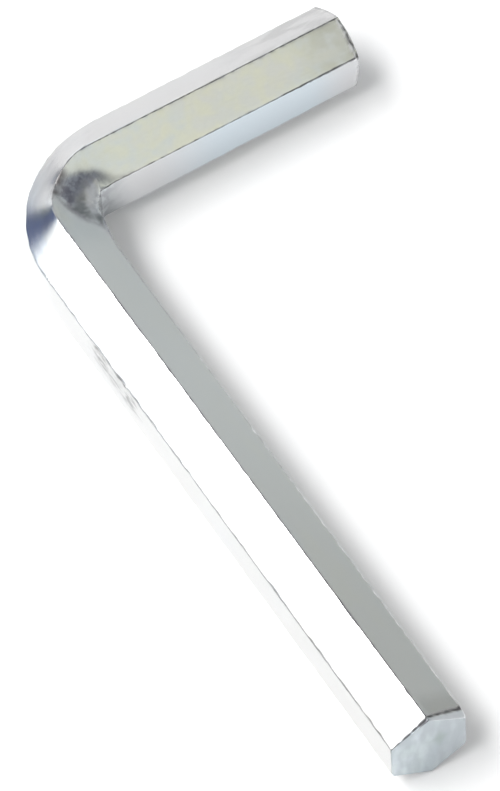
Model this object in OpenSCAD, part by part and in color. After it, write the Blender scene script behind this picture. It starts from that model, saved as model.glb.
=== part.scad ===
// Hex key made from one short length of hexagonal bar, sheared at both ends and bent cold to a right angle.
// The long arm runs along +X and the short arm along +Y, and the bar lies on its lowest edge at z = 0.
// The origin is below the middle of the key's outline, seen from above.

/* [Bar] */
// Width across the flats, which is the size of socket that the key turns
across_flats = 6; // [5:0.5:7]
// Radius along the six long edges of the drawn bar
edge_radius = 0.12; // [0.05:0.01:0.3]

/* [Arms] */
// Length over all of the long arm, from the back of the short arm to its tip
long_length = 59.4; // [50:0.1:80]
// Length over all of the short arm, from the back of the long arm to its tip
short_length = 30.8; // [24:0.1:40]

/* [Bend] */
// Radius, seen from above, of the stretched outer side of the bend
outer_bend_radius = 10.5; // [9.5:0.1:12]
// Radius, seen from above, of the ridges along the top and bottom of the bend
ridge_bend_radius = 5.2; // [4.6:0.1:6]
// Radius, seen from above, of the squeezed inner side of the bend
inner_bend_radius = 1.5; // [1:0.1:3]
// How far the squeezed metal stands out where the inner side runs into the long arm
inner_swell = 0.66; // [0:0.02:0.8]
// How far the squeezed metal stands out where the short arm's inner side runs into the bend
lead_swell = 0.15; // [0:0.01:0.25]
// How far the ridges are pressed in at the middle of the bend
ridge_dip = 0.7; // [0.4:0.05:0.85]
// Distance from the crossing of the arms' axes at which the creases beside the squeezed metal meet the inner edges
crease_reach = 6; // [5:0.1:6.2]
// How soft the two creases are
crease_softness = 0.25; // [0.1:0.05:0.4]

/* [Long tip] */
// Angle by which the sheared face stands out towards the inner side of the arm
long_lean_inwards = 5.4; // [0:0.1:8]
// Angle by which the sheared face stands out towards the underside
long_lean_downwards = 2.6; // [0:0.1:8]
// How far the face stands out past the lowest point of its lean, where it stands out least
least_stand_out = 0.03; // [0.02:0.01:0.3]
// Length of the rolled edge round the face, as a share of how far the face stands out there
roll_length = 1.7; // [1:0.1:2.5]
// How far the rolled edge draws in, as a share of how far the face stands out there
roll_draw = 0.35; // [0.1:0.05:0.6]

/* [Short tip] */
// Angle by which the sheared face stands out towards the inner side of the arm
short_lean_inwards = 2.2; // [0:0.1:8]
// Angle by which the sheared face stands out towards the top
short_lean_upwards = 4.5; // [0:0.1:8]
// How far the bevel round the face reaches in from the middle of each flat
bevel_width = 0.25; // [0.1:0.05:0.8]
// Angle between the bevel and the face
bevel_angle = 16; // [10:1:45]

/* [Hidden] */

// Distance from the bar's axis to a flat, and to a corner where the edge is sharp
half_flats = across_flats / 2;
corner_reach = half_flats / cos(30);
// Distance from the bar's axis to the crown of a rounded edge
crown_reach = corner_reach - edge_radius * (1 / cos(30) - 1);

// Where each tip lies, measured from the crossing of the two arms' axes
long_tip_x = long_length - half_flats;
short_tip_y = short_length - half_flats;

// Length past the outer side's turn over which the swelling still fades
run_out = 0.9;
// Distance from the axes' crossing at which both arms run true again
bend_reach = outer_bend_radius - half_flats + run_out;

// Steps round each rounded edge, across each flat, round the bend, along its run into each arm,
// and over the rolled edge of the long tip
edge_steps = 4;
flat_steps = 8;
bend_steps = 24;
run_steps = 10;
roll_steps = 4;

// Where the inner side of the short arm starts to lead out, at its upper and its lower edge
lead_reach_above = 6;
lead_reach_below = 4.9;
// Shortest length over which it leads out
shortest_lead = 0.3;

// Powers that set how fast the swelling beside the inner corner rises, and how slowly it fades
swell_rise = 0.7;
swell_fade = 1.8;
// Share of the swelling's length that lies within the turn of the bend
inner_turn_length = inner_bend_radius * PI / 2;
inner_run_length = bend_reach - half_flats - inner_bend_radius;
swell_turn_share = inner_turn_length / (inner_turn_length + inner_run_length);

function blend(from, to, share) = from + (to - from) * share;

function limit(value) = min(max(value, 0), 1);

function direction(angle) = [cos(angle), sin(angle)];

// Point on the rounded edge at one corner, from 0 at its start to 1 at its end
function edge_point(corner, share) =
    let (corner_angle = 90 - 60 * corner)
    (corner_reach - edge_radius / cos(30)) * direction(corner_angle)
    + edge_radius * direction(corner_angle + 30 - 60 * share);

// Points of the bar's section as [side, height], where side grows towards the inside of the bend
section_points = [
    for (corner = [0:5]) each concat(
        [for (step = [0:edge_steps]) edge_point(corner, step / edge_steps)],
        [for (step = [1:flat_steps - 1]) blend(edge_point(corner, 1), edge_point(corner + 1, 0), step / flat_steps)]
    )
];

// Share of the way from the ridges out to a side flat
function side_share(side) = min(abs(side) / half_flats, 1);

// Radius that a line along the bar takes round the bend, by how far it lies to the side of the ridges
function bend_radius(side) =
    blend(ridge_bend_radius, side < 0 ? outer_bend_radius : inner_bend_radius, side_share(side));

// Rise and fall of the swelling, by progress from 0 where it starts to 1 where it has faded out
function swell_shape(progress) = pow(progress, swell_rise) * pow(1 - progress, swell_fade);
swell_crown = swell_shape(swell_rise / (swell_rise + swell_fade));
function swelling(side, progress) =
    side <= 0 ? 0 : side_share(side)
        * (lead_swell * pow(1 - progress, 2) + inner_swell * swell_shape(progress) / swell_crown);

// Height of an upper flat above the bar's axis, by distance to the side of the ridge
function flat_height(distance) = corner_reach - distance * tan(30);

// Distance to the side of either axis at which the ridge passes the middle of the bend
ridge_middle = ridge_bend_radius * (1 - cos(45));
// Sum of both distances over which the squeezed metal falls off, and how far it falls
cushion_length = crease_reach + half_flats - 2 * ridge_middle;
cushion_drop = corner_reach - ridge_dip - flat_height(half_flats);
// Power that sets how sharply it rounds over beside the inner edge
cushion_rounding = 7;

// Height of the squeezed metal between the two creases, a cushion that is level at the ridges, falls off
// towards the inner corner and rounds over to the inner edge
function cushion_height(place, share) =
    let (progress = (place[0] + place[1] - 2 * ridge_middle) / cushion_length)
    blend(
        corner_reach - ridge_dip - cushion_drop * pow(progress, 2),
        flat_height(half_flats),
        pow(share, cushion_rounding)
    );

// The larger of two heights, with a soft crease where they cross
function soft_max(first, second) =
    max(first, second) + pow(max(crease_softness - abs(first - second), 0), 2) / (4 * crease_softness);

// Height of the upper inner side of the bend, where the two arms' flats and the squeezed metal meet,
// at a share of the way from the ridges to the inner edge
function inner_height(place, share) =
    soft_max(soft_max(flat_height(place[0]), flat_height(place[1])), cushion_height(place, share));

// Height of a section point at its place in the bend, where dip is how far the ridges are pressed in there
function pressed_height(point, place, dip) =
    let (
        full = flat_height(abs(point[0])),
        share = side_share(point[0]),
        pressed = point[0] > 0 ? inner_height(place, share) : full - dip * (1 - share)
    )
    point[1] * pressed / full;

// A section point in the short arm's run from its true section to the start of the turn
function short_run_point(point, share) =
    let (
        centre = point[0] + bend_radius(point[0]),
        y = blend(bend_reach, centre, share),
        edge_height = flat_height(half_flats),
        drop = limit((edge_height - point[1]) / (2 * edge_height)),
        lead_start = max(blend(lead_reach_above, lead_reach_below, drop), centre + shortest_lead),
        lead = swelling(point[0], 0) * limit((lead_start - y) / (lead_start - centre)),
        place = [point[0] + lead, y]
    )
    [place[0], place[1], pressed_height(point, place, 0)];

// A section point, carried round the bend by an angle of 0 at the short arm to 90 at the long arm
function turned_point(point, angle) =
    let (
        centre = point[0] + bend_radius(point[0]),
        radius = bend_radius(point[0]) - swelling(point[0], swell_turn_share * angle / 90),
        place = [centre, centre] - radius * direction(angle),
        ridge_place = ridge_bend_radius * ([1, 1] - direction(angle))
    )
    [place[0], place[1], pressed_height(point, place, corner_reach - inner_height(ridge_place, 0))];

// A section point on the run from the end of the turn to the long arm's true section
function long_run_point(point, share) =
    let (
        centre = point[0] + bend_radius(point[0]),
        progress = blend(swell_turn_share, 1, share),
        place = [blend(centre, bend_reach, share), point[0] + swelling(point[0], progress)]
    )
    [place[0], place[1], pressed_height(point, place, 0)];

// How far a leaning face stands out at a section point, against the bar's axis
function lean(point, inwards, upwards) = point[0] * tan(inwards) + point[1] * tan(upwards);

// How far the sheared face of the long tip stands out at a section point
function long_lean(point) = lean(point, long_lean_inwards, -long_lean_downwards);
lowest_lean = min([for (point = section_points) long_lean(point)]);
function stand_out(point) = least_stand_out + long_lean(point) - lowest_lean;

// A section point drawn in towards the axis, from 0 at the flats to 1 at the sheared face
function drawn_in(point, share) = point * (1 - roll_draw * stand_out(point) / half_flats * share);
farthest_stand_out = max([for (point = section_points) stand_out(drawn_in(point, 1))]);

// A section point on the rolled edge, from 0 at the flats to 90 at the sheared face
function rolled_point(point, angle) =
    let (
        place = drawn_in(point, 1 - cos(angle)),
        face_x = long_tip_x - farthest_stand_out + stand_out(drawn_in(point, 1))
    )
    [face_x - roll_length * stand_out(point) * (1 - sin(angle)), place[0], place[1]];

// A section point on the bevel, from 0 at the flats to 1 at the round sheared face of the short tip
function bevel_point(point, share) =
    let (
        face_radius = half_flats - bevel_width,
        farthest = face_radius * norm([tan(short_lean_inwards), tan(short_lean_upwards)]),
        size = blend(1, face_radius / norm(point), share),
        setback = (norm(point) * size - face_radius) * tan(bevel_angle),
        lean_here = lean(point * size, short_lean_inwards, short_lean_upwards)
    )
    [point[0] * size, short_tip_y - farthest + lean_here - setback, point[1] * size];

// Rings of points along the bar, from the short tip round the bend to the long tip
short_tip_rings = [for (share = [1, 0]) [for (point = section_points) bevel_point(point, share)]];
short_run_rings = [
    for (step = [0:run_steps - 1]) [for (point = section_points) short_run_point(point, step / run_steps)]
];
turn_rings = [
    for (step = [0:bend_steps]) [for (point = section_points) turned_point(point, 90 * step / bend_steps)]
];
long_run_rings = [
    for (step = [1:run_steps]) [for (point = section_points) long_run_point(point, step / run_steps)]
];
long_tip_rings = [
    for (step = [0:roll_steps]) [for (point = section_points) rolled_point(point, 90 * step / roll_steps)]
];
bar_rings = concat(short_tip_rings, short_run_rings, turn_rings, long_run_rings, long_tip_rings);

// Two triangles over four points in order, split along the shorter diagonal
function split_quad(points, corners) =
    norm(points[corners[0]] - points[corners[2]]) <= norm(points[corners[1]] - points[corners[3]])
        ? [[corners[0], corners[1], corners[2]], [corners[0], corners[2], corners[3]]]
        : [[corners[0], corners[1], corners[3]], [corners[1], corners[2], corners[3]]];

// Closed skin over a row of rings that all have the same number of points
module loft(rings) {
    sides = len(rings[0]);
    last = len(rings) - 1;
    skin = [for (ring = rings) each ring];
    polyhedron(
        points = skin,
        faces = [
            [for (i = [sides - 1:-1:0]) i],
            for (ring = [0:last - 1])
                for (i = [0:sides - 1])
                    let (next = (i + 1) % sides, here = ring * sides, ahead = here + sides)
                        each split_quad(skin, [here + i, here + next, ahead + next, ahead + i]),
            [for (i = [0:sides - 1]) last * sides + i]
        ]
    );
}

module hex_key() {
    color([0.78, 0.79, 0.78])
        translate([-(long_length - across_flats) / 2, -(short_length - across_flats) / 2, crown_reach])
            loft(bar_rings);
}

hex_key();
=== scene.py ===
import math

import bpy
import numpy as np
from mathutils import Matrix, Vector, noise


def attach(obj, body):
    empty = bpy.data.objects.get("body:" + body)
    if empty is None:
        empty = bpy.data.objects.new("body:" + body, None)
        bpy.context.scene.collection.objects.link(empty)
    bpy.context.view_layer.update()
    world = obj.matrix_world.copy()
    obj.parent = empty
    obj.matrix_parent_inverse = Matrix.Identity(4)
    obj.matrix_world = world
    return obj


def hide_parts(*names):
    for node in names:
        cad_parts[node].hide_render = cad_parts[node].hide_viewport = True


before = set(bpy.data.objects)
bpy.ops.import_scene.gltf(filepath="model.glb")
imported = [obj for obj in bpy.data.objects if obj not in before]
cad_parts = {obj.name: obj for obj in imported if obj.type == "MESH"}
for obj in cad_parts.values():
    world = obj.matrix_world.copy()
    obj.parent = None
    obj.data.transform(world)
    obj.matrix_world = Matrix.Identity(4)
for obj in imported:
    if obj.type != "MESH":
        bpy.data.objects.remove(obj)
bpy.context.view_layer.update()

MM = 0.001

# Sizes of the bar and its bend, in millimetres, as in the part's source
across_flats = 6.0
edge_radius = 0.12
long_length = 59.4
short_length = 30.8
outer_bend_radius = 10.5
ridge_bend_radius = 5.2
inner_bend_radius = 1.5
inner_swell = 0.66
lead_swell = 0.15
ridge_dip = 0.7
crease_reach = 6.0
crease_softness = 0.25
long_lean_inwards = 5.4
long_lean_downwards = 2.6
least_stand_out = 0.03
roll_length = 1.7
roll_draw = 0.35
short_lean_inwards = 2.2
short_lean_upwards = 4.5
bevel_width = 0.25
bevel_angle = 16.0
run_out = 0.9
swell_rise = 0.7
swell_fade = 1.8
lead_reach_above = 6.0
lead_reach_below = 4.9
shortest_lead = 0.3
cushion_rounding = 7

half_flats = across_flats / 2
corner_reach = half_flats / math.cos(math.radians(30))
crown_reach = corner_reach - edge_radius * (1 / math.cos(math.radians(30)) - 1)
flat_width = corner_reach - 2 * edge_radius * math.tan(math.radians(30))
long_tip_x = long_length - half_flats
short_tip_y = short_length - half_flats
bend_reach = outer_bend_radius - half_flats + run_out
inner_turn_length = inner_bend_radius * math.pi / 2
inner_run_length = bend_reach - half_flats - inner_bend_radius
swell_turn_share = inner_turn_length / (inner_turn_length + inner_run_length)

# Length along the bar, measured from the short tip on the ridge line
turn_start = short_tip_y - ridge_bend_radius
turn_end = turn_start + ridge_bend_radius * math.pi / 2
bar_end = turn_end + long_tip_x - ridge_bend_radius


def tan(angle):
    """Tangent of an angle in degrees."""
    return math.tan(math.radians(angle))


def smooth(low, high, values):
    """Rises from 0 to 1 between low and high, with no kink at either end."""
    share = np.clip((values - low) / (high - low), 0, 1)
    return share * share * (3 - 2 * share)


# The bar's section, corner by corner, with close rows of points beside each rounded edge
edge_steps = 5
flat_shares = [
    0.012, 0.035, 0.08, 0.135, 0.195, 0.255, 0.315, 0.375, 0.4375, 0.5,
    0.5625, 0.625, 0.685, 0.745, 0.805, 0.865, 0.92, 0.965, 0.988]


def section():
    """Returns the section's points as [side, height], and each one's distance from the nearest corner."""
    points = []
    gaps = []
    for corner in range(6):
        corner_angle = math.radians(90 - 60 * corner)
        centre_reach = corner_reach - edge_radius / math.cos(math.radians(30))
        centre = centre_reach * np.array([math.cos(corner_angle), math.sin(corner_angle)])
        for step in range(edge_steps + 1):
            turn = corner_angle + math.radians(30 - 60 * step / edge_steps)
            points.append(centre + edge_radius * np.array([math.cos(turn), math.sin(turn)]))
            gaps.append(edge_radius * math.radians(60) * abs(step / edge_steps - 0.5))
        last = points[-1]
        facing = corner_angle - math.radians(30)
        along_flat = np.array([math.sin(facing), -math.cos(facing)])
        for share in flat_shares:
            points.append(last + along_flat * flat_width * share)
            gaps.append(edge_radius * math.radians(30) + flat_width * min(share, 1 - share))
    return np.array(points), np.array(gaps)


section_points, corner_gaps = section()
side, height = section_points[:, 0], section_points[:, 1]
side_share = np.minimum(np.abs(side) / half_flats, 1)
bend_radius = ridge_bend_radius + side_share * (
    np.where(side < 0, outer_bend_radius, inner_bend_radius) - ridge_bend_radius)
swell_share = np.where(side > 0, side_share, 0)


def swell_shape(progress):
    return progress ** swell_rise * (1 - progress) ** swell_fade


swell_crown = swell_shape(swell_rise / (swell_rise + swell_fade))


def swelling(progress):
    """How far the squeezed metal stands out, by progress from 0 where it starts to 1 where it ends."""
    reach = lead_swell * (1 - progress) ** 2 + inner_swell * swell_shape(progress) / swell_crown
    return swell_share * reach


def flat_height(distance):
    """Height of an upper flat above the bar's axis, by distance to the side of the ridge."""
    return corner_reach - distance * tan(30)


ridge_middle = ridge_bend_radius * (1 - math.cos(math.radians(45)))
cushion_length = crease_reach + half_flats - 2 * ridge_middle
cushion_drop = corner_reach - ridge_dip - flat_height(half_flats)


def cushion_height(x, y, share):
    """Height of the squeezed metal, which is level at the ridges and rounds over to the inner edge."""
    progress = (x + y - 2 * ridge_middle) / cushion_length
    dome = corner_reach - ridge_dip - cushion_drop * progress ** 2
    return dome + (flat_height(half_flats) - dome) * share ** cushion_rounding


def soft_max(first, second):
    """The larger of two heights, with a soft crease where they cross."""
    near = np.maximum(crease_softness - np.abs(first - second), 0)
    return np.maximum(first, second) + near ** 2 / (4 * crease_softness)


def inner_height(x, y, share):
    """Height of the upper inner side of the bend, where both arms' flats and the squeezed metal meet."""
    return soft_max(soft_max(flat_height(x), flat_height(y)), cushion_height(x, y, share))


def row(x, y, z, along):
    """One ring of points round the bar, with its place along the bar."""
    shape = np.zeros_like(side)
    return np.stack([x + shape, y + shape, z + shape, along + shape], axis=1)


def pressed_row(x, y, dip, along):
    """A ring in the bend, its heights pressed in as the squeezed metal is, and the ridges by dip."""
    full = flat_height(np.abs(side))
    pressed = np.where(side > 0, inner_height(x, y, side_share), full - dip * (1 - side_share))
    return row(x, y, height * pressed / full, along)


# The short tip's round face, and how far its lean carries it past its middle
short_face_radius = half_flats - bevel_width
short_face_lean = short_face_radius * math.hypot(tan(short_lean_inwards), tan(short_lean_upwards))


def short_face_ring(share):
    """A ring on the round sheared face of the short tip, from 0 at its middle to 1 at the bevel."""
    unit = section_points / np.linalg.norm(section_points, axis=1)[:, None]
    place = unit * short_face_radius * share
    leant = place[:, 0] * tan(short_lean_inwards) + place[:, 1] * tan(short_lean_upwards)
    return row(place[:, 0], short_tip_y - short_face_lean + leant, place[:, 1], short_face_lean - leant)


def bevel_ring(share):
    """A ring on the bevel of the short tip, from 0 at the flats to 1 at the face."""
    reach = np.linalg.norm(section_points, axis=1)
    size = 1 + share * (short_face_radius / reach - 1)
    set_back = (reach * size - short_face_radius) * tan(bevel_angle)
    leant = side * size * tan(short_lean_inwards) + height * size * tan(short_lean_upwards)
    y = short_tip_y - short_face_lean + leant - set_back
    return row(side * size, y, height * size, short_tip_y - y)


def short_run_ring(share):
    """A ring on the run from the short arm's true section to the start of the turn."""
    centre = side + bend_radius
    y = bend_reach + (centre - bend_reach) * share
    edge_height = flat_height(half_flats)
    drop = np.clip((edge_height - height) / (2 * edge_height), 0, 1)
    lead_start = lead_reach_above + (lead_reach_below - lead_reach_above) * drop
    lead_start = np.maximum(lead_start, centre + shortest_lead)
    lead = swelling(0) * np.clip((lead_start - y) / (lead_start - centre), 0, 1)
    along = short_tip_y - bend_reach + (bend_reach - ridge_bend_radius) * share
    return pressed_row(side + lead, y, 0, along)


def turn_ring(angle):
    """A ring round the bend, from 0 degrees at the short arm to 90 at the long arm."""
    centre = side + bend_radius
    radius = bend_radius - swelling(swell_turn_share * angle / 90)
    turn = math.radians(angle)
    along = turn_start + ridge_bend_radius * turn
    ridge_x = ridge_bend_radius * (1 - math.cos(turn))
    ridge_y = ridge_bend_radius * (1 - math.sin(turn))
    dip = corner_reach - inner_height(ridge_x, ridge_y, 0)
    return pressed_row(centre - radius * math.cos(turn), centre - radius * math.sin(turn), dip, along)


def run_ring(share):
    """A ring on the run from the end of the turn to the long arm's true section."""
    centre = side + bend_radius
    bulge = swelling(swell_turn_share + (1 - swell_turn_share) * share)
    x = centre + (bend_reach - centre) * share
    return pressed_row(x, side + bulge, 0, turn_end + (bend_reach - ridge_bend_radius) * share)


def long_lean(place_side, place_height):
    """How far the long tip's sheared face leans out at a place, against its middle."""
    return place_side * tan(long_lean_inwards) - place_height * tan(long_lean_downwards)


def stand_out(place_side, place_height):
    """How far the sheared face of the long tip stands out past the lowest point of its lean."""
    return least_stand_out + long_lean(place_side, place_height) - long_lean(side, height).min()


def drawn_in(share):
    """The section drawn in towards the axis, from 0 at the flats to 1 at the sheared face."""
    size = 1 - roll_draw * stand_out(side, height) / half_flats * share
    return side * size, height * size


face_side, face_height = drawn_in(1)
face_start_x = long_tip_x - stand_out(face_side, face_height).max()


def rolled_ring(angle):
    """A ring on the rolled edge of the long tip, from 0 degrees at the flats to 90 at the sheared face."""
    turn = math.radians(angle)
    place_side, place_height = drawn_in(1 - math.cos(turn))
    set_back = roll_length * stand_out(side, height) * (1 - math.sin(turn))
    x = face_start_x + stand_out(face_side, face_height) - set_back
    return row(x, place_side, place_height, bar_end - (long_tip_x - x))


def long_face_ring(share):
    """A ring on the sheared face of the long tip, from 0 at its middle to 1 at the rolled edge."""
    place_side, place_height = face_side * share, face_height * share
    x = face_start_x + stand_out(place_side, place_height)
    return row(x, place_side, place_height, bar_end - (long_tip_x - x))


def between(first, last, shares):
    """Rings at shares of the way from a first ring to a last one."""
    return [first + (last - first) * share for share in shares]


bevel_shares = [1, 0.92, 0.7, 0.4, 0.12, 0]
face_shares = [0.02, 0.1, 0.18, 0.26, 0.34, 0.42, 0.5, 0.58, 0.66, 0.74, 0.81, 0.87, 0.92, 0.96, 0.985]
roll_angles = [0, 6, 12, 18, 24, 31, 38, 46, 54, 63, 72, 81, 90]
face_rows = len(face_shares)
bevel_rows = len(bevel_shares)
roll_rows = len(roll_angles)

# Places of the rings along the straight arms, closer together beside the two tips
short_arm_shares = [0.002, 0.005, 0.008, 0.011, 0.014] + list(np.linspace(0.018, 1, 84))
long_arm_shares = list(np.linspace(0, 0.985, 190)[1:]) + [0.989, 0.993, 0.996, 0.9985]


def bar_rings():
    """All rings along the bar, from the middle of the short face to the middle of the long face."""
    rings = [short_face_ring(share) for share in face_shares]
    rings += [bevel_ring(share) for share in bevel_shares]
    rings += between(rings[-1], short_run_ring(0), short_arm_shares)
    rings += [short_run_ring(share) for share in np.linspace(0, 1, 29)[1:-1]]
    rings += [turn_ring(angle) for angle in np.linspace(0, 90, 91)]
    rings += [run_ring(share) for share in np.linspace(0, 1, 49)[1:]]
    rings += between(rings[-1], rolled_ring(0), long_arm_shares)
    rings += [rolled_ring(angle) for angle in roll_angles]
    rings += [long_face_ring(share) for share in reversed(face_shares)]
    return np.array(rings)


# Depths and widths of the small forms in the skin, in millimetres
wave_depth = 0.006
ragged_reach = 0.09
ragged_depth = 0.05
peel_depth = 0.009
stretched_peel_depth = 0.004
lump_depth = 0.018
fine_lump_depth = 0.006
# Width of the painted shade along the bend's creases
crease_shade_width = 0.07
scuff_side = 0.12
scuff_width = 0.33
face_lump_depth = 0.05
face_grain_depth = 0.005
tear_width = 0.13
tear_depth = 0.05
rim_width = 0.1
rim_tear_gap = 0.1
rim_burr_gap = 0.27
knock_depth = 0.04

# Noises of the small forms: how long and wide their bumps are, in millimetres, and a seed of their own
wave_noise = ((5.0, 2.2, 2.2), 3.1)
ragged_noise = ((0.5, 0.4, 0.4), 11.7)
peel_noise = ((0.9, 0.33, 0.33), 21.3)
lump_noise = ((0.8, 0.8, 0.8), 23.9)
fine_lump_noise = ((0.3, 0.3, 0.3), 26.3)
scuff_noise = ((0.5, 0.5, 0.5), 28.7)
face_lump_noise = ((1, 0.9, 0.9), 31.9)
face_grain_noise = ((1, 0.3, 0.3), 41.3)
wander_noise = ((0.5, 0.45, 0.45), 51.7)
fine_wander_noise = ((0.2, 0.16, 0.16), 55.1)
tear_noise = ((0.5, 0.35, 0.35), 58.3)
speckle_noise = ((0.3, 0.28, 0.28), 61.3)
knock_noise = ((1.2, 0.2, 0.2), 71.9)

# Where the knocks along the long arm begin and end, along the bar
knocks_begin = turn_end + 8.3
knocks_full = turn_end + 10.3
knocks_fade = turn_end + 15.0
knocks_end = turn_end + 16.8


def ripple(place, size, seed):
    """Even noise from -1 to 1 at each point, with bumps about as wide as size."""
    scaled = place / np.asarray(size, float) + seed
    return np.array([noise.noise(Vector(point)) for point in scaled])


def band(distance, width):
    """1 at no distance, and fading to both sides within about the width."""
    return np.exp(-(distance / width) ** 2)


class Skin:
    """The bar's skin as a grid of points, one row for each ring, with how far its small forms sink in."""

    def __init__(self, rings):
        self.grid = rings[:, :, :3]
        self.along = rings[:, :, 3]
        self.side = np.broadcast_to(side, self.along.shape)
        self.height = np.broadcast_to(height, self.along.shape)
        self.side_share = np.broadcast_to(side_share, self.along.shape)
        self.gap = np.broadcast_to(corner_gaps, self.along.shape)
        self.faces = np.zeros(self.along.shape)
        self.faces[:face_rows] = 1
        self.faces[-face_rows:] = 1
        self.walls = 1 - self.faces
        # On the faces the unbent places follow the face's own plane, and elsewhere the bar before bending
        unbent = np.stack([self.along, self.side, self.height], axis=2)
        unbent[:face_rows, :, 1] = self.grid[:face_rows, :, 0]
        unbent[:face_rows, :, 2] = self.grid[:face_rows, :, 2]
        unbent[-face_rows:, :, 1:] = self.grid[-face_rows:, :, 1:]
        self.unbent_places = unbent.reshape(-1, 3)
        self.bent_places = self.grid.reshape(-1, 3)
        self.sink = np.zeros(self.along.shape)
        self.marks = {}

    def unbent_noise(self, kind):
        """Noise that runs along the bar as if it were straight."""
        return ripple(self.unbent_places, *kind).reshape(self.along.shape)

    def bent_noise(self, kind):
        """Noise that takes no notice of the bar's direction."""
        return ripple(self.bent_places, *kind).reshape(self.along.shape)

    def normals(self):
        """Outward directions, from each point's neighbours along and around the bar."""
        around = np.roll(self.grid, -1, axis=1) - np.roll(self.grid, 1, axis=1)
        along = np.gradient(self.grid, axis=0)
        crossed = np.cross(along, around)
        return crossed / np.maximum(np.linalg.norm(crossed, axis=2, keepdims=True), 1e-12)

    def points(self):
        """The skin's points in metres, in the part's frame, with the small forms sunk in."""
        sunk = self.grid - self.normals() * self.sink[:, :, None]
        middle_x = (long_length - across_flats) / 2
        middle_y = (short_length - across_flats) / 2
        middle = np.array([middle_x, middle_y, -crown_reach])
        return (sunk - middle) * MM


def draw_and_plate(skin):
    """Slow waves left by drawing and plating, and slightly ragged long edges."""
    skin.sink += wave_depth * (1 + skin.unbent_noise(wave_noise))
    edges = band(skin.gap, ragged_reach) * skin.walls
    skin.sink += edges * ragged_depth * np.clip(0.3 + skin.unbent_noise(ragged_noise), 0, 1)


def squeeze(skin):
    """The skin of the bend: a fine peel, lumpy metal between two creases, and a scuffed ridge."""
    bend_starts = smooth(turn_start - 2.5, turn_start + 0.5, skin.along)
    bend_ends = smooth(turn_end - 0.5, turn_end + 3, skin.along)
    bent = bend_starts * (1 - bend_ends) * skin.walls
    # The peel is deeper on the stretched side
    stretched = smooth(0.3, -1.5, skin.side)
    peel = 0.5 + 0.5 * skin.unbent_noise(peel_noise)
    skin.sink += bent * (peel_depth + stretched_peel_depth * stretched) * peel
    x, y = skin.grid[:, :, 0], skin.grid[:, :, 1]
    flats = np.maximum(flat_height(x), flat_height(y))
    above_flats = cushion_height(x, y, skin.side_share) - flats
    inner = smooth(0.0, 0.15, skin.side) * bent
    squeezed = smooth(-0.16, 0.10, above_flats) * inner
    lumps = lump_depth * skin.bent_noise(lump_noise) + fine_lump_depth * skin.bent_noise(fine_lump_noise)
    skin.sink += squeezed * (lumps + lump_depth + fine_lump_depth)
    turned = (skin.along - turn_start) / (turn_end - turn_start)
    scuffed = band(skin.side - scuff_side, scuff_width)
    scuffed = scuffed * smooth(0.26, 0.38, turned) * (1 - smooth(0.56, 0.68, turned))
    scuffed = scuffed * np.clip(0.9 + skin.bent_noise(scuff_noise), 0, 1)
    # The squeezed metal is dull but for a bright patch between the ridge and the inner edge
    bright = smooth(0.38, 0.6, skin.side_share) * (1 - 0.5 * smooth(0.7, 0.92, skin.side_share))
    bright = bright * smooth(0.02, 0.2, above_flats)
    skin.marks["bent"] = bent
    skin.marks["squeezed"] = squeezed * (1 - bright)
    # Painted shade along the two creases, laid into the colour
    skin.marks["crease_shade"] = band(above_flats + 0.02, crease_shade_width) * inner
    skin.marks["scuffed"] = scuffed


def shear(skin):
    """Lumpy sheared faces, and torn lines at the long tip's rolled edge and the short tip's bevel."""
    skin.sink += skin.faces * face_lump_depth * (0.5 + 0.5 * skin.unbent_noise(face_lump_noise))
    skin.sink += skin.faces * face_grain_depth * (0.5 + 0.5 * skin.unbent_noise(face_grain_noise))
    wander = skin.unbent_noise(wander_noise) + 0.6 * skin.unbent_noise(fine_wander_noise)
    # How much of the rolled edge is left, from 1 where it begins to 0 at the face, and past 1 elsewhere
    roll_left = np.zeros(skin.along.shape) + 9.0
    roll_left[-face_rows - roll_rows:-face_rows] = (1 - np.sin(np.radians(roll_angles)))[:, None]
    roll_reach = roll_length * stand_out(skin.side, skin.height)
    tear_place = 0.8 - 0.25 * smooth(0.0, -0.4, skin.side) + 0.16 * wander
    torn = band((roll_left - tear_place) * roll_reach, tear_width)
    torn = torn * np.clip(0.9 + 0.8 * skin.unbent_noise(tear_noise), 0.2, 1)
    torn = torn * (0.25 + 0.75 * smooth(1.2, 1.9, skin.height))
    # The bevel's torn line and its burrs, painted bright as glints in the colour, are mostly on the upper
    # inner flat
    bevel_gap = skin.grid[face_rows + bevel_rows - 1, :, 1] - skin.grid[:, :, 1]
    upper_inner = smooth(0.0, 0.3, skin.side) * smooth(1.3, 1.6, skin.height)
    rim = smooth(-0.04, 0.02, bevel_gap) * skin.walls * (0.25 + 0.75 * upper_inner)
    rim_torn = band(bevel_gap - rim_tear_gap - 0.08 * wander, rim_width) * rim
    speckle = skin.unbent_noise(speckle_noise)
    torn = np.maximum(torn, rim_torn * np.clip(0.9 + 1.4 * speckle, 0, 1))
    burrs_and_glints = band(bevel_gap - rim_burr_gap - 0.1 * wander, rim_width) * rim
    burrs_and_glints = burrs_and_glints * smooth(-0.05, 0.15, -speckle)
    skin.sink += tear_depth * torn
    rolled = smooth(0.72, 0.55, roll_left) * skin.walls
    # The faces and the rolled edge count as far from any long edge
    skin.marks["corner_gap"] = np.where(skin.faces + rolled > 0.5, 1.0, skin.gap)
    skin.marks["rolled"] = rolled
    skin.marks["burrs_and_glints"] = burrs_and_glints
    skin.marks["sheared"] = np.maximum(skin.faces, rolled)
    skin.marks["torn"] = torn


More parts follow.
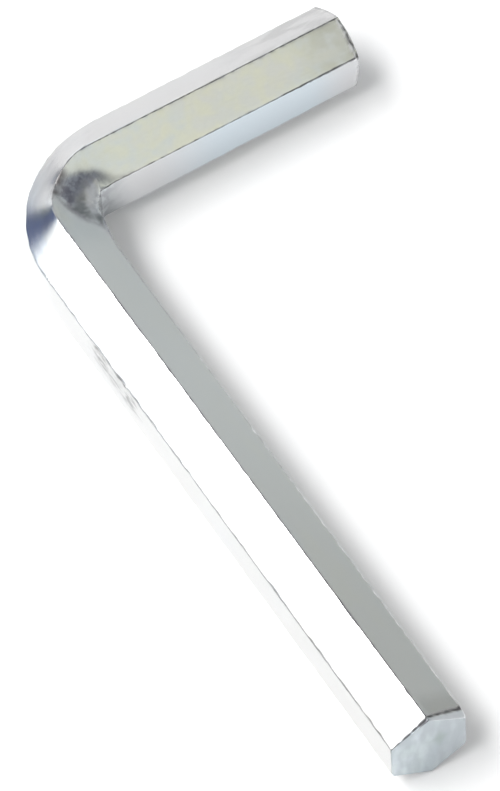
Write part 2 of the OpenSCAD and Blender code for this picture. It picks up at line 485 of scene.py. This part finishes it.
def knock(skin):
    """Knocks along the outer flat of the long arm, just below its top edge."""
    knocked = smooth(knocks_begin, knocks_full, skin.along)
    knocked = knocked * (1 - smooth(knocks_fade, knocks_end, skin.along))
    knocked = knocked * smooth(-2.6, -2.95, skin.side)
    knocked = knocked * smooth(-0.8, 0.2, skin.height) * smooth(1.85, 1.72, skin.height)
    dents = np.clip(skin.unbent_noise(knock_noise) * 3.4 + 0.25, 0, 1)
    skin.sink += knock_depth * dents * knocked
    skin.marks["knocked"] = knocked


def key_mesh():
    """The key as one closed mesh, with its places and marks as attributes for the material."""
    skin = Skin(bar_rings())
    draw_and_plate(skin)
    squeeze(skin)
    shear(skin)
    knock(skin)
    points = skin.points()
    count, sides = skin.along.shape
    middles = [points[0].mean(axis=0), points[-1].mean(axis=0)]
    vertices = np.vstack([points.reshape(-1, 3), middles])
    faces = []
    for ring in range(count - 1):
        for index in range(sides):
            after = (index + 1) % sides
            here, ahead = ring * sides, (ring + 1) * sides
            faces.append((here + index, here + after, ahead + after, ahead + index))
    first_middle, last_middle = count * sides, count * sides + 1
    last_ring = (count - 1) * sides
    for index in range(sides):
        after = (index + 1) % sides
        faces.append((first_middle, after, index))
        faces.append((last_middle, last_ring + index, last_ring + after))
    mesh = bpy.data.meshes.new("bent_bar")
    mesh.from_pydata(vertices.tolist(), [], faces)
    mesh.shade_smooth()
    unbent = np.vstack([skin.unbent_places, [0, 0, 0], [bar_end, 0, 0]])
    for name, places in (("bar", unbent), ("spot", vertices / MM)):
        attribute = mesh.attributes.new(name, "FLOAT_VECTOR", "POINT")
        attribute.data.foreach_set("vector", places.astype(np.float32).ravel())
    for name, values in skin.marks.items():
        at_middles = 1 if name in ("corner_gap", "sheared") else 0
        attribute = mesh.attributes.new(name, "FLOAT", "POINT")
        values = np.append(values.ravel(), [at_middles, at_middles])
        attribute.data.foreach_set("value", values.astype(np.float32))
    return mesh


class Signal:
    """One output of a shader node, on which the signs of arithmetic add Math nodes."""

    def __init__(self, shader, socket):
        self.shader = shader
        self.socket = socket

    def maths(self, operation, *values):
        return self.shader.add("ShaderNodeMath", {"operation": operation}, dict(enumerate(values)))[0]

    def __add__(self, other):
        return self.maths("ADD", self, other)

    def __sub__(self, other):
        return self.maths("SUBTRACT", self, other)

    def __mul__(self, other):
        return self.maths("MULTIPLY", self, other)

    def __truediv__(self, other):
        return self.maths("DIVIDE", self, other)

    def __rsub__(self, other):
        return self.maths("SUBTRACT", other, self)

    def __rtruediv__(self, other):
        return self.maths("DIVIDE", other, self)

    __radd__ = __add__
    __rmul__ = __mul__

    def size(self):
        return self.maths("ABSOLUTE", self)

    def larger(self, other):
        """The larger of this signal and another signal or number."""
        return self.maths("MAXIMUM", self, other)

    def rise(self, low, high):
        """0 at low and 1 at high, smooth between and level beyond; low may be the larger."""
        inputs = {"Value": self, "From Min": low, "From Max": high}
        return self.shader.add("ShaderNodeMapRange", {"interpolation_type": "SMOOTHSTEP"}, inputs)[0]


class Outputs:
    """The outputs of a node, by number or name, as signals."""

    def __init__(self, shader, node):
        self.shader = shader
        self.node = node

    def __getitem__(self, key):
        return Signal(self.shader, self.node.outputs[key])


class Shader:
    """A node tree, to which nodes are added by type, settings and the values or links of their sockets."""

    def __init__(self, tree):
        self.tree = tree
        tree.nodes.clear()

    def add(self, kind, settings=None, inputs=None):
        node = self.tree.nodes.new(kind)
        for name, value in (settings or {}).items():
            setattr(node, name, value)
        for key, value in (inputs or {}).items():
            socket = node.inputs[key]
            if isinstance(value, Signal):
                self.tree.links.new(value.socket, socket)
            else:
                socket.default_value = value
        return Outputs(self, node)

    def mix_colour(self, share, first, second):
        inputs = {0: share, 6: full_colour(first), 7: full_colour(second)}
        return self.add("ShaderNodeMix", {"data_type": "RGBA"}, inputs)[2]

    def tinted(self, colour, *tints):
        """A colour with tints laid over it in turn, each given as its share and its colour."""
        for share, tint in tints:
            colour = self.mix_colour(share, colour, tint)
        return colour

    def dot(self, first, second):
        made = self.add("ShaderNodeVectorMath", {"operation": "DOT_PRODUCT"}, {0: first, 1: second})
        return made["Value"]

    def grain(self, place, bumps, detail):
        """Noise from 0 to 1, with about so many bumps to a millimetre along each axis."""
        made = self.add("ShaderNodeVectorMath", {"operation": "MULTIPLY"}, {0: place, 1: bumps})
        inputs = {"Vector": made["Vector"], "Scale": 1.0, "Detail": detail, "Roughness": 0.55}
        return self.add("ShaderNodeTexNoise", {}, inputs)["Fac"]

    def attribute(self, name):
        return self.add("ShaderNodeAttribute", {"attribute_name": name})

    def mark(self, name):
        return self.attribute(name)["Fac"]

    def parts(self, vector):
        made = self.add("ShaderNodeSeparateXYZ", {}, {0: vector})
        return made["X"], made["Y"], made["Z"]

    def finished(self, inputs):
        """Ends the tree with one surface of the given inputs."""
        finish = self.add("ShaderNodeBsdfPrincipled", {}, inputs)
        self.add("ShaderNodeOutputMaterial", {}, {"Surface": finish["BSDF"]})


def full_colour(value):
    return value if isinstance(value, Signal) else (*value, 1)


def new_material(name):
    material = bpy.data.materials.new(name)
    material.use_nodes = True
    return material, Shader(material.node_tree)


# Tints of the plated flats, with painted shade on the short arm's flats and before the long tip's torn
# line, and a painted bluish reflection on the short arm's inner flat
plate = (0.80, 0.805, 0.80)
bluish_plate = (0.765, 0.80, 0.83)
yellowish_plate = (0.81, 0.81, 0.765)
straw_patch = (0.84, 0.84, 0.71)
# Painted shade on the short arm's inner flat, and a painted bluish reflection of shaded paper in its middle
inner_flat_painted_shade = (0.60, 0.605, 0.62)
inner_flat_painted_reflection = (0.61, 0.68, 0.73)
# Painted shade on the short arm's outer upper flat, darkening its reflection
outer_flat_painted_shade = (0.645, 0.64, 0.64)
long_outside_grey = (0.70, 0.70, 0.695)
long_upper_pale = (0.88, 0.89, 0.90)
long_tip_grey = (0.64, 0.635, 0.62)
smear_grey = (0.46, 0.46, 0.46)
drawn_streak = (0.55, 0.56, 0.57)
# Painted shade on the long arm's upper inner flat before the torn line at its tip
tip_painted_shade = (0.42, 0.41, 0.39)

# Tints of the sheared faces and the rolled edge, with a painted highlight on the rolled edge's upper inner
# side
sheared_blue = (0.63, 0.68, 0.72)
sheared_green = (0.62, 0.69, 0.70)
face_cloud = (0.45, 0.50, 0.53)
face_blotch = (0.43, 0.47, 0.50)
face_inner_side = (0.46, 0.49, 0.52)
face_lower_corner = (0.42, 0.44, 0.47)
face_streak = (0.44, 0.50, 0.54)
face_bite = (0.36, 0.42, 0.40)
# Painted highlight on the rolled edge's upper inner side
rolled_painted_highlight = (0.90, 0.93, 0.95)
rolled_dark = (0.14, 0.14, 0.15)

# Tints of the bend, with painted shade along its creases
bend_mottle = (0.56, 0.57, 0.60)
squeezed_pale = (0.73, 0.80, 0.82)
squeezed_dark = (0.36, 0.36, 0.40)
crease_painted_shade = (0.32, 0.34, 0.35)

# Tints of bare and worn steel, and the painted glints on the bevel's burrs
edge_steel = (0.16, 0.16, 0.165)
scuffed_steel = (0.22, 0.21, 0.21)
torn_steel = (0.11, 0.11, 0.115)
burr_painted_glint = (0.97, 0.97, 0.97)
knock_haze = (0.50, 0.50, 0.495)
knocked_steel = (0.20, 0.20, 0.205)


# The long tip's bite and the streak through it: places in millimetres, and the streak's slope as a ratio
bite_aside = 0.76
bite_above = 0.55
streak_aside = 0.56
streak_slope = 0.37

# The plate's roughness, its fine bumps' strength and depth in metres, and the paper's white and glow
plate_roughness = 0.16
bump_strength = 0.35
bump_depth = 0.00001
paper_white = (0.97, 0.97, 0.97, 1)
paper_glow = (0.06, 0.06, 0.06)


class Place:
    """What the material knows of a point: its place on the unbent bar, its marks and the noises there."""

    def __init__(self, shader):
        bar = shader.attribute("bar")["Vector"]
        spot = shader.attribute("spot")["Vector"]
        self.along, self.aside, self.above = shader.parts(bar)
        self.gap = shader.mark("corner_gap")
        self.bent = shader.mark("bent")
        self.squeezed = shader.mark("squeezed")
        self.crease_shade = shader.mark("crease_shade")
        self.scuffed = shader.mark("scuffed")
        self.sheared = shader.mark("sheared")
        self.rolled = shader.mark("rolled")
        self.torn = shader.mark("torn")
        self.burrs_and_glints = shader.mark("burrs_and_glints")
        self.knocked = shader.mark("knocked")
        self.broad = shader.grain(bar, (0.10, 0.22, 0.22), 1.0)
        self.patches = shader.grain(bar, (0.28, 0.6, 0.6), 2.0)
        self.mottles = shader.grain(bar, (0.8, 0.8, 0.8), 1.5)
        self.smears = shader.grain(bar, (0.35, 0.9, 0.9), 2.0)
        self.streaks = shader.grain(bar, (0.22, 5.0, 5.0), 4.0)
        self.strokes = shader.grain(bar, (1.1, 4.2, 4.2), 2.0)
        self.specks = shader.grain(bar, (3.0, 5.0, 5.0), 4.0)
        self.blotches = shader.grain(spot, (1.4, 1.4, 1.4), 3.0)
        self.clouds = shader.grain(spot, (0.7, 1.1, 0.4), 1.5)
        self.short_arm = self.along.rise(turn_start + 3.5, turn_start)
        self.long_arm = self.along.rise(turn_end, turn_end + 4)
        self.upper = self.above.rise(1.55, 1.75)
        self.inner_half = self.aside.rise(-0.3, 0.0)
        self.outer_half = self.aside.rise(0.0, -0.3)
        self.inner_edge = self.aside.rise(2.4, 2.9)
        self.inner_side = self.aside.rise(2.9, 2.97)
        self.outer_side = self.aside.rise(-2.9, -2.97)


def flat_colour(shader, at):
    """The plate on the flats, faintly tinted from place to place and greyer towards both tips, with painted
    shade on the short arm's flats and a painted bluish reflection in the middle of its inner flat.
    """
    straw = at.upper * at.short_arm * at.inner_half * at.mottles.rise(0.32, 0.70)
    # Painted shade over the short arm's inner flat, and a painted bluish reflection in its middle
    inner_flat = at.inner_side * at.short_arm
    inner_middle = inner_flat * at.along.rise(1, 5) * at.along.rise(19, 12)
    # Painted shade on the outer upper flat of the short arm
    outer_flat = at.upper * at.outer_half * at.along.rise(turn_start + 5, turn_start + 2)
    long_outside = at.outer_side * at.long_arm * (0.8 + at.patches.rise(0.3, 0.7) * 0.2)
    toward_tip = at.along.rise(turn_end + 12, bar_end - 3)
    # Near the short tip the outer upper flat is grey in smears and the inner one in a soft patch
    smeared = at.outer_half * at.along.rise(12, 3) * (0.15 + at.smears.rise(0.4, 0.6) * 0.45)
    soft_patch = at.inner_half * at.along.rise(5.5, 1.5)
    soft_patch = soft_patch * (0.2 + at.mottles.rise(0.3, 0.7) * 0.3)
    return shader.tinted(
        plate,
        (at.broad.rise(0.38, 0.66), bluish_plate),
        (at.patches.rise(0.45, 0.75) * 0.8, yellowish_plate),
        (straw * 0.6, straw_patch),
        # Painted shade and a painted bluish reflection on the short arm's inner flat
        (inner_flat * 0.8, inner_flat_painted_shade),
        (inner_middle, inner_flat_painted_reflection),
        # Painted shade on the short arm's outer upper flat
        (outer_flat * 0.9, outer_flat_painted_shade),
        (long_outside, long_outside_grey),
        (at.upper * at.long_arm * (1 - toward_tip) * 0.8, long_upper_pale),
        (toward_tip * (0.35 + at.upper * 0.15), long_tip_grey),
        ((smeared + soft_patch) * at.upper * at.short_arm, smear_grey),
    )


def face_colour(shader, at):
    """The sheared faces: darker, in soft clouds, with a streak and a small bite in the long tip's face."""
    from_streak = (at.aside - at.above * streak_slope - streak_aside).size()
    streak = from_streak.rise(0.9, 0.1) * at.above.rise(1.4, 0.6)
    bite = ((at.aside - bite_aside).size() + (at.above - bite_above).size() * 0.6).rise(0.9, 0.1)
    return shader.tinted(
        sheared_blue,
        (at.patches.rise(0.3, 0.7), sheared_green),
        (at.clouds.rise(0.36, 0.64) * 0.7, face_cloud),
        (at.blotches.rise(0.4, 0.8) * 0.3, face_blotch),
        (at.aside.rise(-1.8, 1.2) * 0.4, face_inner_side),
        ((at.aside - at.above).rise(2.2, 4.6) * 0.4, face_lower_corner),
        (streak * at.long_arm * 0.4, face_streak),
        (bite * at.long_arm * 0.6, face_bite),
    )


def key_colour(shader, at):
    """The whole key's colour: its flats, faces and bend, and steel where the plate is thin or gone, with
    painted shade before the long tip's torn line and in the bend's creases, and painted highlights on the
    rolled edge and the bevel's burrs.
    """
    dark_spots = 0.05 + at.blotches.rise(0.40, 0.60) * 0.75
    # Painted shade on the upper inner flat just before the long tip's torn line
    shade_before_tear = at.upper * at.aside.rise(0.0, 0.5) * at.along.rise(bar_end - 3.4, bar_end - 1.4)
    wider = at.inner_edge * at.along.rise(9, 2) * 0.07
    thin = (at.gap + at.specks * 0.2 + at.blotches * 0.12 - 0.11 - wider).rise(0.13, 0.05)
    dashes = 0.55 + at.streaks.rise(0.35, 0.6) * 0.4
    worn = (at.short_arm * dashes).larger(at.above.rise(2.4, 3.0) * 0.35 + 0.42)
    worn = worn + at.bent * at.inner_edge * 0.4
    past_scuff = at.bent * at.above.rise(2.4, 2.8) * at.along.rise(turn_start + 4, turn_start + 5.5)
    worn = worn * (1 - past_scuff * 0.75)
    return shader.tinted(
        flat_colour(shader, at),
        (at.sheared, face_colour(shader, at)),
        # Painted highlight on the upper inner side of the long tip's rolled edge
        (at.rolled * at.upper * at.aside.rise(0.0, 0.4) * 0.8, rolled_painted_highlight),
        (at.rolled * at.above.rise(2.9, 3.2) * at.aside.rise(0.1, -0.1), rolled_dark),
        (at.bent * at.mottles.rise(0.4, 0.7) * 0.2, bend_mottle),
        (at.squeezed * 0.6, squeezed_pale),
        (at.squeezed * dark_spots, squeezed_dark),
        # Painted shade along the bend's creases
        (at.crease_shade * 0.4, crease_painted_shade),
        # Painted shade before the long tip's torn line
        (shade_before_tear * (1 - at.sheared) * 0.4, tip_painted_shade),
        (at.streaks.rise(0.55, 0.8) * 0.12, drawn_streak),
        (thin * worn, edge_steel),
        (at.scuffed, scuffed_steel),
        (at.torn, torn_steel),
        # Painted glints on the burrs of the short tip's bevel
        (at.burrs_and_glints, burr_painted_glint),
        (at.knocked * at.patches.rise(0.3, 0.6) * 0.35, knock_haze),
        (at.knocked * at.strokes.rise(0.48, 0.60) * 0.75, knocked_steel),
    )


def zinc_plate():
    """Bright zinc plate over drawn steel, pale and faintly tinted, and thin and dark along the edges."""
    material, shader = new_material("zinc_plate")
    at = Place(shader)
    rough = plate_roughness + at.specks * 0.08 + at.sheared * 0.14 + at.bent * 0.02
    rough = rough + at.burrs_and_glints * 0.3 + at.torn * 0.5 + at.scuffed * 0.3
    height_map = at.streaks * 0.3 + at.specks * 0.25 + at.patches * 0.6
    bump_inputs = {"Strength": bump_strength, "Distance": bump_depth, "Height": height_map}
    bump = shader.add("ShaderNodeBump", {}, bump_inputs)
    shader.finished({
        "Base Color": key_colour(shader, at),
        "Metallic": 1.0,
        "Roughness": rough,
        "Normal": bump["Normal"],
    })
    return material


def floor_paper():
    """White paper, lifted to full white for the camera and the mirroring flats by a faint glow."""
    material, shader = new_material("white_paper")
    path = shader.add("ShaderNodeLightPath")
    seen = path["Is Camera Ray"].larger(path["Is Glossy Ray"])
    shader.finished({
        "Base Color": paper_white,
        "Roughness": 1.0,
        "Specular IOR Level": 0.0,
        "Emission Color": shader.mix_colour(seen, (0, 0, 0), paper_glow),
        "Emission Strength": 1.0,
    })
    return material


def toward(azimuth, elevation):
    """Unit direction of an azimuth, from +X towards +Y, and an elevation above the floor, in degrees."""
    turn, lift = math.radians(azimuth), math.radians(elevation)
    return Vector((math.cos(turn) * math.cos(lift), math.sin(turn) * math.cos(lift), math.sin(lift)))


room_wall = (0.50, 0.505, 0.51)
room_ceiling = (0.60, 0.60, 0.61)

# What the key mirrors: azimuth, elevation, half width, half height, turn and softness in degrees, and light
room_panels = {
    "dim wall": ((-30, 40, 60, 40, 0, 10), (0.30, 0.30, 0.31)),
    "pale wall": ((180, 8, 25, 14, 0, 5), (0.84, 0.845, 0.86)),
    "warm ceiling": ((36, 62, 22, 14, 0, 8), (0.86, 0.875, 0.79)),
    "blue curtain": ((-138, 24, 9, 15, 25, 5), (0.80, 0.89, 1.0)),
    "low window": ((-112, 42, 28, 12, 0, 4), (1.6, 1.6, 1.6)),
    "window": ((-107, 61, 26, 8.5, 0, 5), (9.1, 9.1, 9.1)),
    "dark blue screen": ((-150.5, 15, 10.5, 16, 20, 3), (0.055, 0.08, 0.20)),
    "small dark screen": ((-160, 7, 4, 6, 0, 3), (0.06, 0.09, 0.11)),
    "grey screen": ((100, 62, 27, 12, 0, 4), (0.19, 0.195, 0.225)),
    "small grey screen": ((110, 41, 6, 10, 0, 4), (0.075, 0.09, 0.085)),
    "low wall": ((85, 14, 24, 7, 0, 4), (0.60, 0.61, 0.62)),
    "low side wall": ((124, 9, 14, 9, 0, 5), (0.52, 0.55, 0.54)),
}


def studio():
    """The room round the key, in which its flats mirror a bright window, pale walls and dark screens."""
    world = bpy.data.worlds.new("studio")
    world.use_nodes = True
    bpy.context.scene.world = world
    shader = Shader(world.node_tree)
    seen = shader.add("ShaderNodeTexCoord")["Generated"]

    def panel(azimuth, elevation, half_width, half_height, turn, softness):
        """Share of a rectangular panel in a direction, with its half sizes and soft edge in degrees."""
        centre = toward(azimuth, elevation)
        level = Vector((0, 0, 1)).cross(centre).normalized()
        upward = centre.cross(level)
        angle = math.radians(turn)
        wide = level * math.cos(angle) + upward * math.sin(angle)
        tall = upward * math.cos(angle) - level * math.sin(angle)
        ahead = shader.dot(seen, tuple(centre))
        safe = ahead.larger(0.01)
        across = (shader.dot(seen, tuple(wide)) / safe).size()
        up = (shader.dot(seen, tuple(tall)) / safe).size()
        soft = tan(softness)
        share = across.rise(tan(half_width) + soft, tan(half_width) - soft)
        share = share * up.rise(tan(half_height) + soft, tan(half_height) - soft)
        return share * ahead.rise(0.0, 0.1)

    upward = shader.parts(seen)[2]
    colour = shader.mix_colour(upward.rise(0.62, 0.80), room_wall, room_ceiling)
    colour = shader.tinted(colour, *((panel(*place), light) for place, light in room_panels.values()))
    path = shader.add("ShaderNodeLightPath")
    colour = shader.mix_colour(path["Is Camera Ray"], colour, (1, 1, 1))
    background = shader.add("ShaderNodeBackground", {}, {"Color": colour, "Strength": 1.0})
    shader.add("ShaderNodeOutputWorld", {}, {"Surface": background["Background"]})


# The camera: angles in degrees, its distance, aim, lens and sensor in millimetres, and its reach in metres
camera_azimuth = 62.11
camera_elevation = 56.28
camera_roll = 4.35
camera_distance = 348.65
camera_aim = (-2.69, -7.56, crown_reach)
camera_lens = 215.72
camera_sensor = 36
nearest_seen = 0.01
farthest_seen = 10


def camera():
    """The camera at the photograph's viewing angle, slightly rolled, with a long lens."""
    azimuth = math.radians(camera_azimuth)
    elevation = math.radians(camera_elevation)
    roll = math.radians(camera_roll)
    ahead = math.cos(elevation)
    back = Vector((math.sin(azimuth) * ahead, -math.cos(azimuth) * ahead, math.sin(elevation)))
    level = (-back).cross(Vector((0, 0, 1))).normalized()
    down = (-back).cross(level)
    right = level * math.cos(roll) + down * math.sin(roll)
    up = level * math.sin(roll) - down * math.cos(roll)
    data = bpy.data.cameras.new("camera")
    data.sensor_width = camera_sensor
    data.lens = camera_lens
    data.clip_start = nearest_seen
    data.clip_end = farthest_seen
    made = bpy.data.objects.new("camera", data)
    bpy.context.scene.collection.objects.link(made)
    place = (Vector(camera_aim) + back * camera_distance) * MM
    columns = Matrix((right, up, back)).transposed().to_4x4()
    made.matrix_world = Matrix.Translation(place) @ columns
    bpy.context.scene.camera = made


# Half the paper's width and how far it lies below the key, in metres
paper_reach = 1.5
paper_drop = 0.00001


def floor():
    """A wide sheet of paper just below the key."""
    mesh = bpy.data.meshes.new("paper")
    corners = [(-1, -1), (1, -1), (1, 1), (-1, 1)]
    points = [(x * paper_reach, y * paper_reach, -paper_drop) for x, y in corners]
    mesh.from_pydata(points, [], [(0, 1, 2, 3)])
    mesh.materials.append(floor_paper())
    made = bpy.data.objects.new("paper", mesh)
    bpy.context.scene.collection.objects.link(made)


key = bpy.data.objects.new("bent_key", key_mesh())
key.data.materials.append(zinc_plate())
bpy.context.scene.collection.objects.link(key)
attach(key, "root")
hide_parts("hex_key")
floor()
studio()
camera()
bpy.context.scene.view_settings.view_transform = "Standard"
